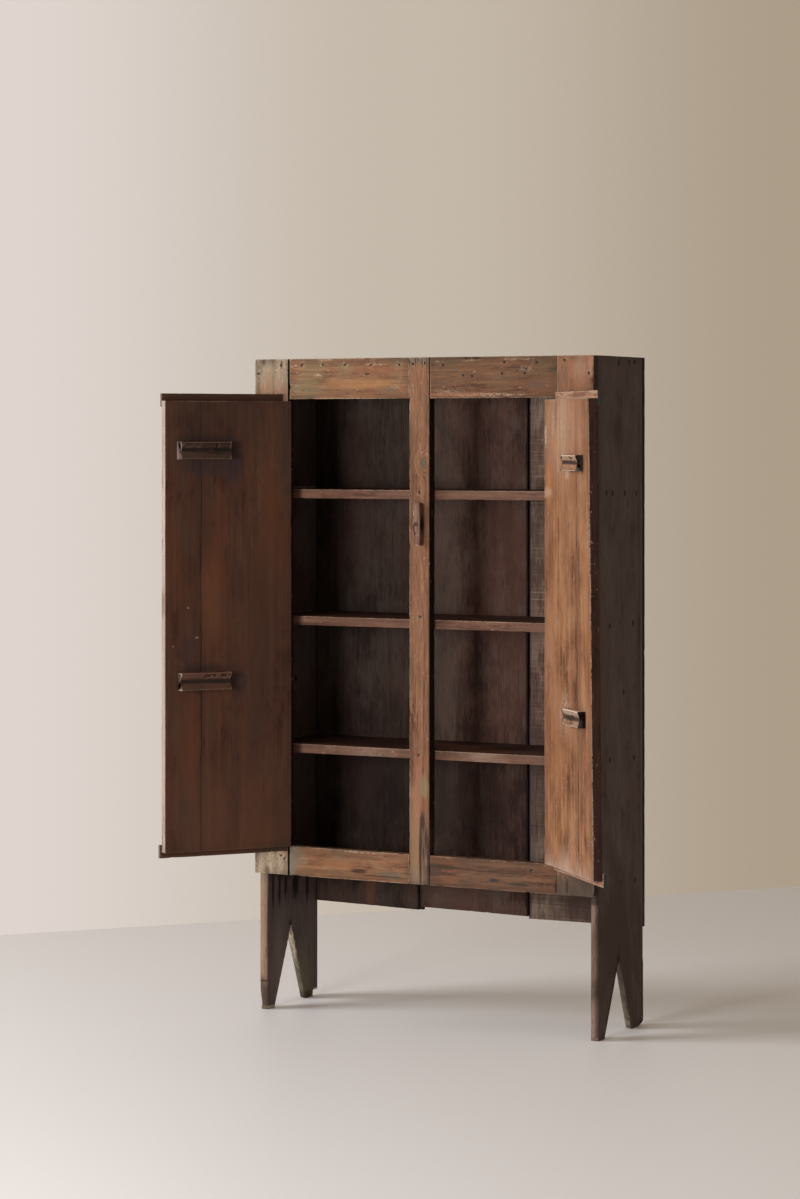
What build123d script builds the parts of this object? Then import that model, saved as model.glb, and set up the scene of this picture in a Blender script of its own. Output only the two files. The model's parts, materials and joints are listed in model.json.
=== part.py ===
from build123d import *
from math import cos, hypot, radians, sin
import os

os.makedirs("parts", exist_ok=True)

# A trastero: a tall cupboard of nailed and jointed boards, with two plank doors and a turn button.
# Millimetres, Z up, X across the front, Y towards the back, all feet on Z = 0.

# ---------------------------------------------------------------- driving dimensions
HEIGHT = 1780.0
WIDTH = 1020.0

# Face frame: three stiles and four rails, mortised together in one plane.
ARRIS = 1.5  # the plane's stroke along the front edges of frame, doors and strips
FRAME_T = 30.0
FRAME_BOTTOM = 377.0
STILE_W = 106.0
CENTRE_STILE_W = 62.0
TOP_RAIL_H = 110.0
BOTTOM_RAIL_H = 80.0
TENON_T = 10.0
TENON_L = 28.0
TENON_SHOULDER = 14.0
TENON_WEB = 8.0  # wood left between the two tenons that meet in the centre stile
MORTISE_SPARE = 1.0
SHRINK_GAP = 4.0  # the left rails have drawn out of their stile by this much

# Sides, shelves and back.
SIDE_T = 22.0
SIDE_DEPTH = 277.0
HOUSING_D = 7.0
SHELF_T = 25.0
SHELF_TOPS = {"upper": 1426.0, "middle": 1081.0, "lower": 733.0}
BACK_T = 18.0
BACK_GAP = 2.5  # between the faces of two back boards
BACK_LAP = 11.0  # the lip of each back board that reaches behind its right-hand neighbour
LEFT_BACK_JOINT = -164.0  # from the middle of the cabinet
RIGHT_BACK_JOINT = 172.0
# The roughly sawn lower ends: the height of each board's left corner, and how far the cut rises.
BACK_BOTTOM = {"left": 266.0, "middle": 269.0, "right": 260.0}
BACK_SLANT = {"left": -6.0, "middle": -4.0, "right": 2.0}

# Bootjack feet: the V sawn out of the foot of each side board.
FRONT_FOOT_D = 39.0
REAR_FOOT_D = 69.0
V_HEIGHT = 210.0
V_APEX = 129.0  # behind the front edge of the side board
V_SKEW = 10.0  # how far the slanting saw cut runs backwards through the board, right to left
HEEL_D = {"left_side": 27.0, "right_side": 24.0}  # the notch at the back of each rear foot
HEEL_H = {"left_side": 17.0, "right_side": 6.0}
HEEL_SLANT = {"left_side": 2.0, "right_side": 11.0}
TOE_R = 9.0

# Doors.
DOOR_T = 25.0
DOOR_GAP_TOP = 5.0
DOOR_GAP_BOTTOM = 2.5
DOOR_GAP_FREE = 3.0
NARROW_PLANK_W = 104.0
TONGUE_L = 8.0
TONGUE_T = 8.0
STRIP_T = 10.0
STRIP_H = 36.0
STRIP_RISE = 19.5  # how far the top strip stands above its door
STRIP_DROP = 15.5  # how far the bottom strip hangs below it
STRIP_SETBACK = {"top_strip": 13.0, "bottom_strip": 0.0}  # from the door's hinge edge
STRIP_OVERHANG = 5.0  # of the bottom strip, past the free edge
STOP_CLEARANCE = 0.3
CLEAT_L = {"left": 143.0, "right": 124.0}
CLEAT_H = {"left": 46.0, "right": 40.0}
CLEAT_T = {"left": 34.0, "right": 20.0}
CLEAT_V_D = {
    "left": {"cleat_upper": 5.0, "cleat_lower": 13.0},
    "right": {"cleat_upper": 6.0, "cleat_lower": 6.0},
}
CLEAT_RIM = 3.5  # the flat left above and below the V
CLEAT_INSET = {"left": 35.0, "right": 45.0}  # from the free edge
UPPER_CLEAT_DROP = {"left": 133.0, "right": 163.0}  # the cleat's middle below the door's top
LOWER_CLEAT_RISE = {"left": 457.0, "right": 400.0}  # and above its bottom
LEFT_OPEN_DEGREES = 126.0
RIGHT_OPEN_DEGREES = 133.0

# Butt hinges, let into the edges of door and stile, with a proud barrel.
HINGE_GAP = 2.0
HINGE_OUT = 5.5  # the pin stands this far in front of the face frame
HINGE_INSET = 170.0  # from the top and bottom of the door opening
LEAF_H = 76.0
LEAF_T = 1.5
LEAF_W = 18.0
BARREL_R = 4.5
BARREL_CLEARANCE = 0.5
PIN_R = 2.0
PIN_PLAY = 0.05
KNUCKLE_PLAY = 0.4
PIN_HEAD_R = 3.4
PIN_HEAD_H = 2.0

# Turn button on the centre stile.
BUTTON_L = 114.0
BUTTON_W = 24.0
BUTTON_END_W = 19.0
BUTTON_T = 24.0
BUTTON_ARRIS = 3.0
BUTTON_Z = 1336.0
BUTTON_X = 3.0  # off the middle of the stile
BUTTON_CLEARANCE = 1.0
BUTTON_NAIL_R = 2.0
BUTTON_NAIL_PLAY = 0.05
BUTTON_NAIL_HEAD_R = 5.0
BUTTON_NAIL_HEAD_T = 2.0
BUTTON_NAIL_BITE = 24.0

# ---------------------------------------------------------------- places worked out from them
half_width = WIDTH / 2
opening_half = half_width - STILE_W
centre_half = CENTRE_STILE_W / 2
opening_bottom = FRAME_BOTTOM + BOTTOM_RAIL_H
opening_top = HEIGHT - TOP_RAIL_H
door_w = opening_half - centre_half - HINGE_GAP - DOOR_GAP_FREE
door_bottom = opening_bottom + DOOR_GAP_BOTTOM
door_top = opening_top - DOOR_GAP_TOP

# In a door's own frame, x runs along the door from the hinge pin and y from the pin inwards.
door_outer = HINGE_OUT - STOP_CLEARANCE
door_inner = door_outer + DOOR_T
door_near = HINGE_GAP / 2
door_far = door_near + door_w
pin_x = opening_half - HINGE_GAP / 2
hinge_zs = (opening_bottom + HINGE_INSET, opening_top - HINGE_INSET)
knuckle_h = LEAF_H / 3
open_angle = {"left": radians(LEFT_OPEN_DEGREES), "right": radians(RIGHT_OPEN_DEGREES)}


def swing(x, y, side):
    """Turn a point of a door's own frame by its open angle; the door's way off the pin is +X."""
    a = open_angle[side]
    return x * cos(a) + y * sin(a), -x * sin(a) + y * cos(a)


# The origin lies on the floor under the middle of the whole cabinet as it stands with open doors.
door_tips = [(door_far, door_inner), (door_far + STRIP_OVERHANG, door_outer - STRIP_T)]
reach = {s: max(pin_x - swing(x, y, s)[0] for x, y in door_tips) for s in open_angle}
front = max(HINGE_OUT - swing(x, y, s)[1] for x, y in door_tips for s in open_angle)
mid_x = (reach["left"] - reach["right"]) / 2
face_y = (front - FRAME_T - SIDE_DEPTH - BACK_T) / 2
side_y = face_y + FRAME_T
back_y = side_y + SIDE_DEPTH


def block(x0, x1, y0, y1, z0, z1, mode=Mode.ADD):
    """A straight block between two corners, in the cabinet's frame, in the part being made."""
    with Locations((mid_x + (x0 + x1) / 2, (y0 + y1) / 2, (z0 + z1) / 2)):
        Box(x1 - x0, y1 - y0, z1 - z0, mode=mode)


def save(piece, name):
    """Label a finished piece and write it out."""
    piece.part.label = name
    export_step(piece.part, f"parts/{name}.step")


# ---------------------------------------------------------------- face frame
def mortise(x0, x1, rail_bottom, rail_h):
    """The pocket in a stile that a rail's tenon fits, from x0 to x1."""
    middle = face_y + FRAME_T / 2
    low = rail_bottom + TENON_SHOULDER
    high = rail_bottom + rail_h - TENON_SHOULDER
    block(x0, x1, middle - TENON_T / 2, middle + TENON_T / 2, low, high, mode=Mode.SUBTRACT)


rails = {"top_rail": (opening_top, TOP_RAIL_H), "bottom_rail": (FRAME_BOTTOM, BOTTOM_RAIL_H)}
centre_tenon = (CENTRE_STILE_W - TENON_WEB) / 2 - MORTISE_SPARE


def outer_stile(name, sign):
    """A stile at the edge of the frame, mortised for its rails and let in for the hinges."""
    inner = sign * opening_half
    outer = sign * half_width
    deep = inner + sign * (TENON_L + MORTISE_SPARE)
    let_in = inner + sign * LEAF_T
    with BuildPart() as stile:
        block(min(inner, outer), max(inner, outer), face_y, side_y, FRAME_BOTTOM, HEIGHT)
        chamfer(stile.edges().filter_by(Axis.Z).group_by(Axis.Y)[0], ARRIS)
        for rail_bottom, rail_h in rails.values():
            mortise(min(inner, deep), max(inner, deep), rail_bottom, rail_h)
        for z in hinge_zs:
            block(
                min(inner, let_in),
                max(inner, let_in),
                face_y,
                face_y + LEAF_W,
                z - LEAF_H / 2,
                z + LEAF_H / 2,
                mode=Mode.SUBTRACT,
            )
    save(stile, name)


outer_stile("left_stile", -1)
outer_stile("right_stile", 1)

with BuildPart() as centre_stile:
    block(-centre_half, centre_half, face_y, side_y, FRAME_BOTTOM, HEIGHT)
    chamfer(centre_stile.edges().filter_by(Axis.Z).group_by(Axis.Y)[0], ARRIS)
    for rail_bottom, rail_h in rails.values():
        for sign in (-1, 1):
            deep = sign * (centre_half - centre_tenon - MORTISE_SPARE)
            mortise(min(deep, sign * centre_half), max(deep, sign * centre_half), rail_bottom, rail_h)
    # The blind hole that the turn button's nail is driven into.
    nail_hole = Plane(origin=(mid_x + BUTTON_X, face_y, BUTTON_Z), z_dir=(0, 1, 0))
    with BuildSketch(nail_hole):
        Circle(BUTTON_NAIL_R)
    extrude(amount=BUTTON_NAIL_BITE, mode=Mode.SUBTRACT)
save(centre_stile, "centre_stile")


def rail(name, sign, rail_bottom, rail_h):
    """A rail butted between two stiles, with a tenon at each end."""
    outer = opening_half - (SHRINK_GAP if sign < 0 else 0)
    tip = opening_half + TENON_L
    inner_tip = centre_half - centre_tenon
    middle = face_y + FRAME_T / 2
    ends = sorted((sign * centre_half, sign * outer))
    tips = sorted((sign * inner_tip, sign * tip))
    with BuildPart() as piece:
        block(*ends, face_y, side_y, rail_bottom, rail_bottom + rail_h)
        chamfer(piece.edges().filter_by(Axis.X).group_by(Axis.Y)[0], ARRIS)
        block(
            *tips,
            middle - TENON_T / 2,
            middle + TENON_T / 2,
            rail_bottom + TENON_SHOULDER,
            rail_bottom + rail_h - TENON_SHOULDER,
        )
    save(piece, name)


for rail_name, (low, high) in rails.items():
    rail(f"{rail_name}_left", -1, low, high)
    rail(f"{rail_name}_right", 1, low, high)


# ---------------------------------------------------------------- sides
board_tops = {
    "top_board": HEIGHT,
    "bottom_board": FRAME_BOTTOM + SHELF_T,
    **{f"shelf_{name}": top for name, top in SHELF_TOPS.items()},
}


def side_board(name, sign):
    """One board from top to floor, with bootjack feet and a housing for each shelf and board."""
    outer = mid_x + sign * half_width
    right_face = outer if sign > 0 else outer + SIDE_T
    heel_y = back_y - HEEL_D[name]
    inner = sign * (half_width - SIDE_T)
    housing = inner + sign * HOUSING_D
    with BuildPart() as piece:
        # Seen from the end, with the board's depth along the sketch's first axis.
        with BuildSketch(Plane(origin=(outer, 0, 0), x_dir=(0, 1, 0), z_dir=(1, 0, 0))) as outline:
            with BuildLine():
                Polyline(
                    (side_y, HEIGHT),
                    (side_y, 0),
                    (heel_y, 0),
                    (heel_y + HEEL_SLANT[name], HEEL_H[name]),
                    (back_y, HEEL_H[name]),
                    (back_y, HEIGHT),
                    close=True,
                )
            make_face()
            worn = [outline.vertices().sort_by_distance((outer, y, 0))[0] for y in (side_y, heel_y)]
            fillet(worn, TOE_R)
        extrude(amount=-sign * SIDE_T)
        with BuildSketch(Plane(origin=(right_face, 0, 0), x_dir=(0, 1, 0), z_dir=(1, 0, 0))):
            with BuildLine():
                Polyline(
                    (side_y + FRONT_FOOT_D, 0),
                    (side_y + V_APEX, V_HEIGHT),
                    (back_y - REAR_FOOT_D, 0),
                    close=True,
                )
            make_face()
        extrude(amount=hypot(SIDE_T, V_SKEW), dir=(-SIDE_T, V_SKEW, 0), mode=Mode.SUBTRACT)
        for top in board_tops.values():
            block(*sorted((inner, housing)), side_y, back_y, top - SHELF_T, top, mode=Mode.SUBTRACT)
    save(piece, name)


side_board("left_side", -1)
side_board("right_side", 1)

# ---------------------------------------------------------------- top, bottom and shelves
board_half = half_width - SIDE_T + HOUSING_D
for board_name, top in board_tops.items():
    with BuildPart() as board:
        block(-board_half, board_half, side_y, back_y, top - SHELF_T, top)
    save(board, board_name)

# ---------------------------------------------------------------- back boards
def back_board(place, left, right):
    """An upright back board between two joints, shiplapped: a lip on its right, a rebate on its left."""
    lapped_left = left > -half_width
    lapped_right = right < half_width
    face_left = left + (BACK_GAP / 2 if lapped_left else 0)
    face_right = right - (BACK_GAP / 2 if lapped_right else 0)
    lip = face_right + (BACK_LAP if lapped_right else 0)
    low_left = BACK_BOTTOM[place]
    middle = back_y + BACK_T / 2
    with BuildPart() as board:
        # Drawn from the front; the sketch's second axis is the height.
        with BuildSketch(Plane(origin=(mid_x, back_y, 0), x_dir=(1, 0, 0), z_dir=(0, -1, 0))):
            with BuildLine():
                Polyline(
                    (face_left, HEIGHT),
                    (face_left, low_left),
                    (lip, low_left + BACK_SLANT[place]),
                    (lip, HEIGHT),
                    close=True,
                )
            make_face()
        extrude(amount=-BACK_T)
        if lapped_right:
            block(face_right, lip, back_y, middle, 0, HEIGHT, mode=Mode.SUBTRACT)
        if lapped_left:
            block(face_left, face_left + BACK_LAP, middle, back_y + BACK_T, 0, HEIGHT, mode=Mode.SUBTRACT)
    save(board, f"back_board_{place}")


back_board("left", -half_width, LEFT_BACK_JOINT)
back_board("middle", LEFT_BACK_JOINT, RIGHT_BACK_JOINT)
back_board("right", RIGHT_BACK_JOINT, half_width)


# ---------------------------------------------------------------- doors
def pin_plane(side, z, is_open):
    """The plan at height z with its origin at a hinge pin and its first axis along the door."""
    sign = -1 if side == "left" else 1
    angle = open_angle[side] if is_open else 0
    along = (-sign * cos(angle), -sin(angle), 0)
    return Plane(origin=(mid_x + sign * pin_x, face_y - HINGE_OUT, z), x_dir=along, z_dir=(0, 0, 1))


def flat(side, x0, x1, y0, y1, mode=Mode.ADD):
    """A rectangle in a door's plan, with y counted inwards whichever side the door hangs on."""
    inwards = 1 if side == "left" else -1
    with Locations(((x0 + x1) / 2, inwards * (y0 + y1) / 2)):
        Rectangle(x1 - x0, y1 - y0, mode=mode)


joint_x = door_far - NARROW_PLANK_W
tongue_low = (door_outer + door_inner - TONGUE_T) / 2
tongue_high = tongue_low + TONGUE_T


def plank_pair(side):
    """The door's two upright planks, tongued and grooved into one another."""
    with BuildPart() as wide_plank:
        with BuildSketch(pin_plane(side, door_bottom, True)):
            flat(side, door_near, joint_x, door_outer, door_inner)
            flat(side, joint_x - TONGUE_L, joint_x, tongue_low, tongue_high, mode=Mode.SUBTRACT)
        extrude(amount=door_top - door_bottom)
        for z in hinge_zs:
            with BuildSketch(pin_plane(side, z - LEAF_H / 2, True)):
                flat(side, door_near, door_near + LEAF_T, door_outer, HINGE_OUT + LEAF_W)
            extrude(amount=LEAF_H, mode=Mode.SUBTRACT)
    save(wide_plank, f"{side}_door_wide_plank")

    with BuildPart() as narrow_plank:
        with BuildSketch(pin_plane(side, door_bottom, True)) as narrow_plan:
            flat(side, joint_x, door_far, door_outer, door_inner)
            free_corners = narrow_plan.vertices().sort_by(Axis.X)[-2:]
            chamfer(free_corners, ARRIS)
            flat(side, joint_x - TONGUE_L, joint_x, tongue_low, tongue_high)
        extrude(amount=door_top - door_bottom)
    save(narrow_plank, f"{side}_door_narrow_plank")


def stop_strips(side):
    """The strips nailed across the door's outer face, which close against the rails."""
    places = {
        "top_strip": (door_top + STRIP_RISE - STRIP_H, door_far),
        "bottom_strip": (door_bottom - STRIP_DROP, door_far + STRIP_OVERHANG),
    }
    for strip_name, (z, far) in places.items():
        near = door_near + STRIP_SETBACK[strip_name]
        plan = pin_plane(side, z, True)
        outwards = plan.y_dir * (-1 if side == "left" else 1)
        with BuildPart() as strip:
            with BuildSketch(plan):
                flat(side, near, far, door_outer - STRIP_T, door_outer)
            extrude(amount=STRIP_H)
            worn_face = strip.faces().sort_by(Axis(plan.origin, outwards))[-1]
            chamfer(worn_face.edges(), ARRIS)
        save(strip, f"{side}_door_{strip_name}")


def cleats(side):
    """The short cleats across the planks' joint on the inside, each with a V run along its face."""
    half_h = CLEAT_H[side] / 2
    face = CLEAT_T[side]
    middles = {
        "cleat_upper": door_top - UPPER_CLEAT_DROP[side],
        "cleat_lower": door_bottom + LOWER_CLEAT_RISE[side],
    }
    for cleat_name, z in middles.items():
        plan = pin_plane(side, z, True)
        inwards = plan.y_dir * (1 if side == "left" else -1)
        near = door_far - CLEAT_INSET[side] - CLEAT_L[side]
        start = plan.origin + plan.x_dir * near + inwards * door_inner
        with BuildPart() as cleat:
            # The section, with its first axis pointing into the cabinet and its second up or down.
            with BuildSketch(Plane(origin=start, x_dir=inwards, z_dir=plan.x_dir)):
                with BuildLine():
                    Polyline(
                        (0, -half_h),
                        (face, -half_h),
                        (face, CLEAT_RIM - half_h),
                        (face - CLEAT_V_D[side][cleat_name], 0),
                        (face, half_h - CLEAT_RIM),
                        (face, half_h),
                        (0, half_h),
                        close=True,
                    )
                make_face()
            extrude(amount=CLEAT_L[side])
        save(cleat, f"{side}_door_{cleat_name}")


for side in open_angle:
    plank_pair(side)
    stop_strips(side)
    cleats(side)


# ---------------------------------------------------------------- hinges
def leaf(side, z, is_open, knuckles):
    """One hinge leaf: a let-in plate and its knuckles, each joined to it by a short neck."""
    plate = (door_near, door_near + LEAF_T) if is_open else (-door_near - LEAF_T, -door_near)
    plate_front = BARREL_R + BARREL_CLEARANCE
    with BuildSketch(pin_plane(side, z - LEAF_H / 2, is_open)) as let_in:
        flat(side, *plate, plate_front, HINGE_OUT + LEAF_W)
    extrude(let_in.sketch, amount=LEAF_H)
    for low, high in knuckles:
        with BuildSketch(pin_plane(side, low, is_open)) as knuckle:
            Circle(BARREL_R)
            flat(side, *plate, 0, plate_front)
            Circle(PIN_R + PIN_PLAY, mode=Mode.SUBTRACT)
        extrude(knuckle.sketch, amount=high - low)


def hinge_set(side):
    """A door's two butt hinges: leaves on the stile, leaves on the door, and their pins."""
    with BuildPart() as frame_leaves:
        for z in hinge_zs:
            ends = [
                (z - LEAF_H / 2, z - knuckle_h / 2 - KNUCKLE_PLAY / 2),
                (z + knuckle_h / 2 + KNUCKLE_PLAY / 2, z + LEAF_H / 2),
            ]
            leaf(side, z, False, ends)
    save(frame_leaves, f"{side}_hinge_frame_leaves")

    with BuildPart() as door_leaves:
        for z in hinge_zs:
            middle = (z - knuckle_h / 2 + KNUCKLE_PLAY / 2, z + knuckle_h / 2 - KNUCKLE_PLAY / 2)
            leaf(side, z, True, [middle])
    save(door_leaves, f"{side}_hinge_door_leaves")

    with BuildPart() as pins:
        for z in hinge_zs:
            with BuildSketch(pin_plane(side, z - LEAF_H / 2, False)):
                Circle(PIN_R)
            extrude(amount=LEAF_H)
            with BuildSketch(pin_plane(side, z + LEAF_H / 2, False)):
                Circle(PIN_HEAD_R)
            extrude(amount=PIN_HEAD_H)
    save(pins, f"{side}_hinge_pins")


for side in open_angle:
    hinge_set(side)

# ---------------------------------------------------------------- turn button and its nail
button_back = face_y - BUTTON_CLEARANCE
button_front = button_back - BUTTON_T
# Drawn from the front: the plane looks out of the cabinet, along -Y.
button_plane = Plane(
    origin=(mid_x + BUTTON_X, button_back, BUTTON_Z), x_dir=(1, 0, 0), z_dir=(0, -1, 0)
)

with BuildPart() as turn_button:
    with BuildSketch(button_plane):
        with BuildLine():
            Polyline(
                (-BUTTON_END_W / 2, -BUTTON_L / 2),
                (BUTTON_END_W / 2, -BUTTON_L / 2),
                (BUTTON_W / 2, 0),
                (BUTTON_END_W / 2, BUTTON_L / 2),
                (-BUTTON_END_W / 2, BUTTON_L / 2),
                (-BUTTON_W / 2, 0),
                close=True,
            )
        make_face()
    extrude(amount=BUTTON_T)
    chamfer(turn_button.edges().group_by(Axis.Y)[0], BUTTON_ARRIS)
    with BuildSketch(button_plane):
        Circle(BUTTON_NAIL_R + BUTTON_NAIL_PLAY)
    extrude(amount=BUTTON_T, mode=Mode.SUBTRACT)
save(turn_button, "turn_button")

with BuildPart() as turn_button_nail:
    head_back = BUTTON_T + STOP_CLEARANCE
    with BuildSketch(button_plane.offset(-BUTTON_CLEARANCE - BUTTON_NAIL_BITE)):
        Circle(BUTTON_NAIL_R)
    extrude(amount=BUTTON_NAIL_BITE + BUTTON_CLEARANCE + head_back)
    with BuildSketch(button_plane.offset(head_back)):
        Circle(BUTTON_NAIL_HEAD_R)
    extrude(amount=BUTTON_NAIL_HEAD_T)
save(turn_button_nail, "turn_button_nail")
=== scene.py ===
import bmesh
import bpy
import json
from math import ceil, cos, exp, pi, radians, sin, tan
from mathutils import Matrix, Vector, noise


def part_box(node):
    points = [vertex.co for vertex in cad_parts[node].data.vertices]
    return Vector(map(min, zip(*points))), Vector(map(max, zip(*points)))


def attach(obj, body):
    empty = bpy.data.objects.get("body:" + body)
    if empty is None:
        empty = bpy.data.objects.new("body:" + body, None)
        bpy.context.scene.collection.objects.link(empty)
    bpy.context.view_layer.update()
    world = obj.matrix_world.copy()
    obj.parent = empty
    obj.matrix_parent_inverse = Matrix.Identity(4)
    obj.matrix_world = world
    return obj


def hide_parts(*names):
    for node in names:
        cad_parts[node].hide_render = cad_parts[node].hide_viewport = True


# The cupboard stands on the floor at z = 0, its front towards -Y, and everything is in metres.
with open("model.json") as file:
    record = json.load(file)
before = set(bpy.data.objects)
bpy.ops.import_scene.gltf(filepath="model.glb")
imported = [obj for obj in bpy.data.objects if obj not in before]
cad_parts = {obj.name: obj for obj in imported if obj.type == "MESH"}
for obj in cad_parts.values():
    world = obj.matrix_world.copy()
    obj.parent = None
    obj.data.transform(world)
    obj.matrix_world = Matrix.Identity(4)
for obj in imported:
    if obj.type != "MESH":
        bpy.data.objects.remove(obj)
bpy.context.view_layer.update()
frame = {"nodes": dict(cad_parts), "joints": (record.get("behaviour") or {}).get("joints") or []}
nodes = frame["nodes"]


# ------------------------------------------------------------------ camera
# The camera looks level across the front from the right, from a little above the upper shelf.
# Its place is measured from the middle of the cupboard and the front of its face frame.
cupboard_middle = (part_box("top_board")[0].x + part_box("top_board")[1].x) / 2
face_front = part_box("centre_stile")[0].y
camera_place = Vector((cupboard_middle + 4.1029, face_front - 7.7079, 1.5654))
camera_turn = radians(28.365)

camera_data = bpy.data.cameras.new("camera")
camera_data.lens = 98.611
camera_data.sensor_width = 36.0
camera_data.shift_y = -0.13479
camera = bpy.data.objects.new("camera", camera_data)
camera.location = camera_place
camera.rotation_euler = (radians(90), 0, camera_turn)
bpy.context.scene.collection.objects.link(camera)
bpy.context.scene.camera = camera
bpy.context.scene.view_settings.view_transform = "Standard"


# ------------------------------------------------------------------ floor, lamps and the room's light
# A pale smooth floor that ends where the wall begins, a wide soft lamp from the left, a smaller one from
# straight in front, and an even light from all round. The wall is only the colour of the world.
class Shade:
    """A value in a node tree. Sums of shades add Math nodes, so shader maths reads as Python."""

    def __init__(self, tree, socket=None):
        self.tree = tree
        self.socket = socket

    def node(self, kind, settings, inputs, output=0):
        """A node with its settings made first, then its sockets set or linked; gives one output."""
        made = self.tree.nodes.new(kind)
        for setting, value in settings.items():
            setattr(made, setting, value)
        for key, value in inputs.items():
            if isinstance(value, Shade):
                self.tree.links.new(value.socket, made.inputs[key])
            else:
                made.inputs[key].default_value = value
        return Shade(self.tree, made.outputs[output])

    def math(self, operation, *values):
        return self.node("ShaderNodeMath", {"operation": operation}, dict(enumerate(values)))

    def __add__(self, other):
        return self.math("ADD", self, other)

    def __sub__(self, other):
        return self.math("SUBTRACT", self, other)

    def __rsub__(self, other):
        return self.math("SUBTRACT", other, self)

    def __mul__(self, other):
        return self.math("MULTIPLY", self, other)

    def __truediv__(self, other):
        return self.math("DIVIDE", self, other)

    def __abs__(self):
        return self.math("ABSOLUTE", self)

    __radd__ = __add__
    __rmul__ = __mul__

    def root(self):
        return self.math("SQRT", self)

    def fraction(self):
        return self.math("FRACT", self)

    def least(self, other):
        return self.math("MINIMUM", self, other)

    def most(self, other):
        return self.math("MAXIMUM", self, other)

    def ease(self, start, end):
        """0 at start and 1 at end, with a soft step between; start may be the larger."""
        ends = {0: self, 1: start, 2: end, 3: 0.0, 4: 1.0}
        return self.node("ShaderNodeMapRange", {"interpolation_type": "SMOOTHSTEP"}, ends)

    def tint(self, under, over):
        """The colour under, covered by the colour over as far as this shade says."""
        ends = {0: self, 6: paint(under), 7: paint(over)}
        return self.node("ShaderNodeMix", {"data_type": "RGBA"}, ends, output=2)

    def dot(self, direction):
        both = {0: self, 1: direction}
        return self.node("ShaderNodeVectorMath", {"operation": "DOT_PRODUCT"}, both, output=1)

    def cloud(self, along, across, seed, detail=2.0, roughness=0.5, distortion=0.0, turn=0.0):
        """Noise from 0 to 1 with so many waves a metre along and across the grain, turned on the face."""
        waves = {
            0: self,
            "Location": (seed * 0.137, seed * 0.211, seed * 0.073),
            "Rotation": (0.0, 0.0, turn),
            "Scale": (1 / along, 1 / across, 1 / across),
        }
        place = self.node("ShaderNodeMapping", {"vector_type": "TEXTURE"}, waves)
        inputs = {
            "Vector": place, "Scale": 1.0, "Detail": detail, "Roughness": roughness, "Distortion": distortion
        }
        return self.node("ShaderNodeTexNoise", {}, inputs)

    def away(self, point, stretch=1.0):
        """How far this place is from a point of the board's face, less along the grain by stretch."""
        inputs = {
            0: self,
            "Location": (-point.x / stretch, -point.y, 0.0),
            "Scale": (1.0 / stretch, 1.0, 0.0),
        }
        moved = self.node("ShaderNodeMapping", {}, inputs)
        return self.node("ShaderNodeVectorMath", {"operation": "LENGTH"}, {0: moved}, output=1)


def paint(colour):
    """A colour for a socket: a shade as it is, three numbers with their fourth."""
    return colour if isinstance(colour, Shade) else (*colour, 1.0)


wall_left = (0.74, 0.665, 0.62)
wall_middle = (0.56, 0.485, 0.405)
wall_right = (0.41, 0.335, 0.25)
floor_far = (0.62, 0.55, 0.51)
fill_above = (0.29, 0.24, 0.175)
fill_below = (0.14, 0.117, 0.088)
wall_edge = 0.122  # how far to each side of its middle the camera sees, over its depth

upwards = (0.0, 0.0, 1.0)
world = bpy.data.worlds.new("room")
bpy.context.scene.world = world
world.use_nodes = True
room = Shade(world.node_tree)
view_right = (cos(camera_turn), sin(camera_turn), 0.0)
direction = room.node("ShaderNodeTexCoord", {}, {}, output="Generated")
sideways = direction.dot(view_right)
wall = sideways.ease(-wall_edge, 0.0).tint(wall_left, wall_middle)
wall = sideways.ease(0.0, wall_edge).tint(wall, wall_right)
downwards = direction.dot(upwards).ease(-0.16, -0.24)
seen_room = downwards.tint(wall, floor_far)
rays = {name: room.node("ShaderNodeLightPath", {}, {}, output=name) for name in
        ("Is Camera Ray", "Is Glossy Ray", "Is Transmission Ray")}
seen = rays["Is Camera Ray"].most(rays["Is Glossy Ray"]).most(rays["Is Transmission Ray"])
background = world.node_tree.nodes["Background"]
fill = direction.dot(upwards).ease(-0.8, 0.8).tint(fill_below, fill_above)
world.node_tree.links.new(seen.tint(fill, seen_room).socket, background.inputs["Color"])

# The wall's foot runs slantwise behind the cupboard; the floor ends there and goes on to the other sides.
wall_foot = Vector((cupboard_middle - 1.064, face_front + 1.861, 0.0))
wall_way = Vector((0.62, 0.78, 0.0)).normalized()
into_room = Vector((wall_way.y, -wall_way.x, 0.0))
floor_reach = 30.0
bm = bmesh.new()
foot_line = [bm.verts.new(wall_foot + wall_way * s) for s in (-floor_reach, floor_reach)]
edge = bm.edges.new(foot_line)
swept = bmesh.ops.extrude_edge_only(bm, edges=[edge])
moved = [v for v in swept["geom"] if isinstance(v, bmesh.types.BMVert)]
bmesh.ops.translate(bm, verts=moved, vec=into_room * floor_reach)
bmesh.ops.recalc_face_normals(bm, faces=bm.faces)
floor_mesh = bpy.data.meshes.new("floor")
bm.to_mesh(floor_mesh)
bm.free()
floor = bpy.data.objects.new("floor", floor_mesh)
bpy.context.scene.collection.objects.link(floor)

floor_paint = bpy.data.materials.new("floor_paint")
floor_paint.use_nodes = True
ground = Shade(floor_paint.node_tree)
place = ground.node("ShaderNodeTexCoord", {}, {}, output="Object")
floor_tone = place.cloud(0.5, 0.5, 4, detail=3.0).tint((0.93, 0.92, 0.95), (0.94, 0.935, 0.96))
principled = floor_paint.node_tree.nodes["Principled BSDF"]
principled.inputs["Roughness"].default_value = 0.5
principled.inputs["Specular IOR Level"].default_value = 0.3
floor_paint.node_tree.links.new(floor_tone.socket, principled.inputs["Base Color"])
glow = ground.node("ShaderNodeLightPath", {}, {}, output="Is Camera Ray").tint((0, 0, 0), (0.006, 0.0, 0.0))
floor_paint.node_tree.links.new(glow.socket, principled.inputs["Emission Color"])
principled.inputs["Emission Strength"].default_value = 1.0
floor_mesh.materials.append(floor_paint)


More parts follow.
